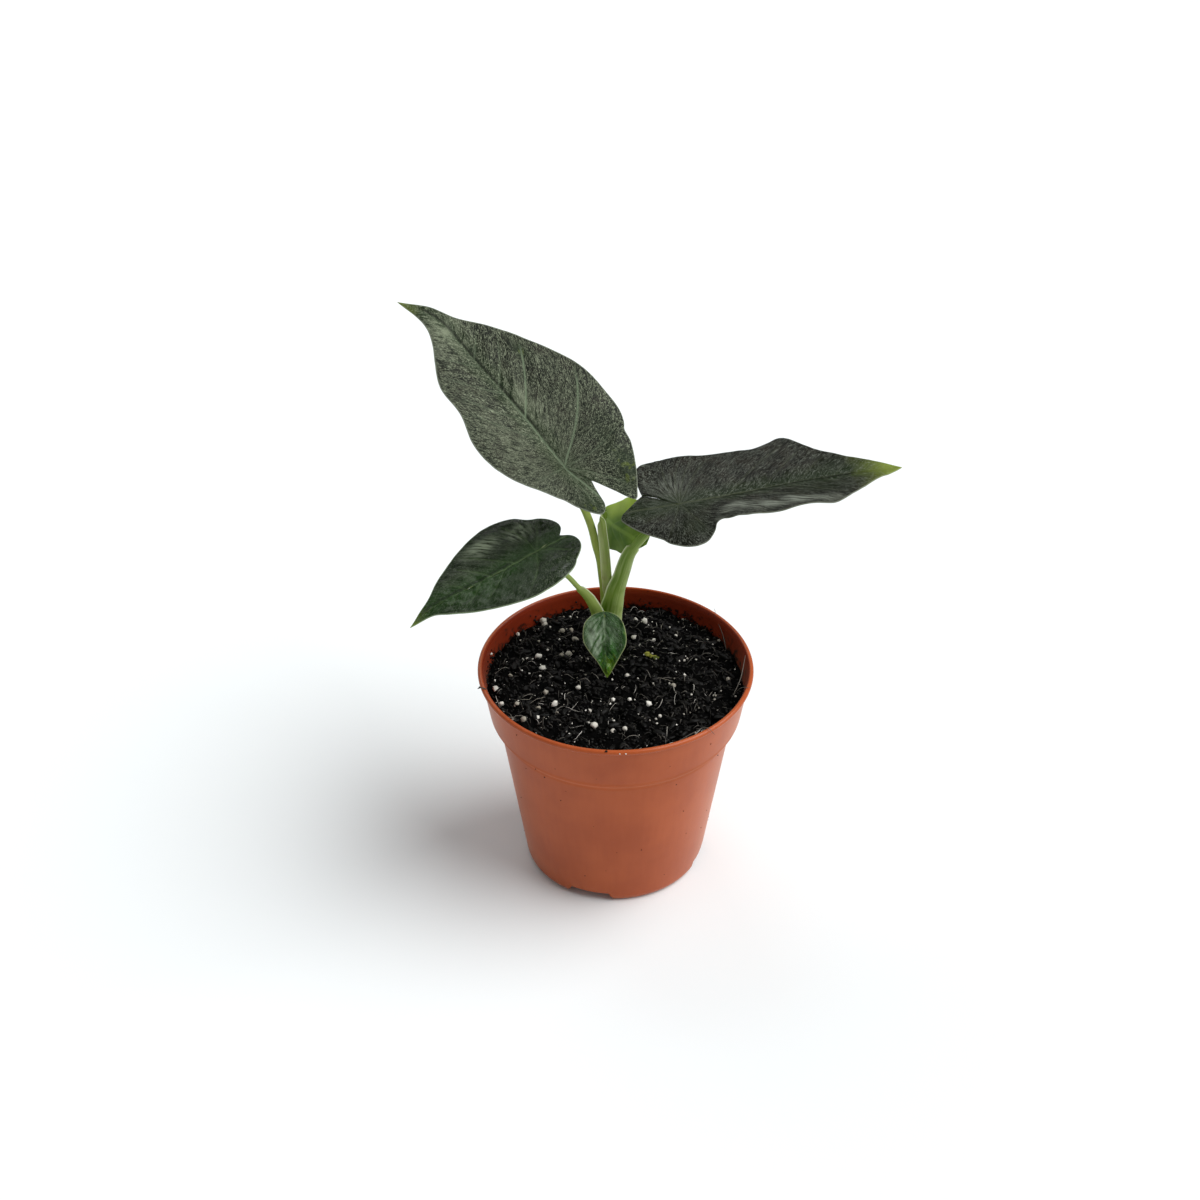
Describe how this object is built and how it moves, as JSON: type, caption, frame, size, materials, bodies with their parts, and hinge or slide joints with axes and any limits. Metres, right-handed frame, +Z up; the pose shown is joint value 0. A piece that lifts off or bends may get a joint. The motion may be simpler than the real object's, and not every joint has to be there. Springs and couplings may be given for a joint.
{
  "type": "potted alocasia plant",
  "caption": "Young velvet-leaved alocasia with arrow-shaped leaves on sheathed stalks, growing in soil with perlite in a round plastic nursery pot with a stepped rim band",
  "frame": {"origin": "centre of the pot's underside, on the surface the pot stands on", "axes": "+Z up along the pot's axis, -Y to the front of the plant as pictured, +X to the right"},
  "size_m": [0.2133, 0.12, 0.2468],
  "materials": {
    "pot_plastic": "injection-moulded polypropylene, terracotta colour, satin",
    "soil": null,
    "root": null,
    "stalk": null,
    "leaf_dark": null,
    "leaf_young": null
  },
  "bodies": {
    "root": {"pot": "pot_plastic", "potting_soil": "soil", "corm_with_roots": "root", "stalk_upper_left": "stalk", "stalk_right": "stalk", "stalk_lower_left": "stalk", "stalk_back": "stalk", "stalk_small_front": "stalk", "blade_upper_left": "leaf_dark", "blade_right": "leaf_dark", "blade_lower_left": "leaf_dark", "blade_back": "leaf_young", "blade_small_front": "leaf_young"}
  },
  "joints": []
}
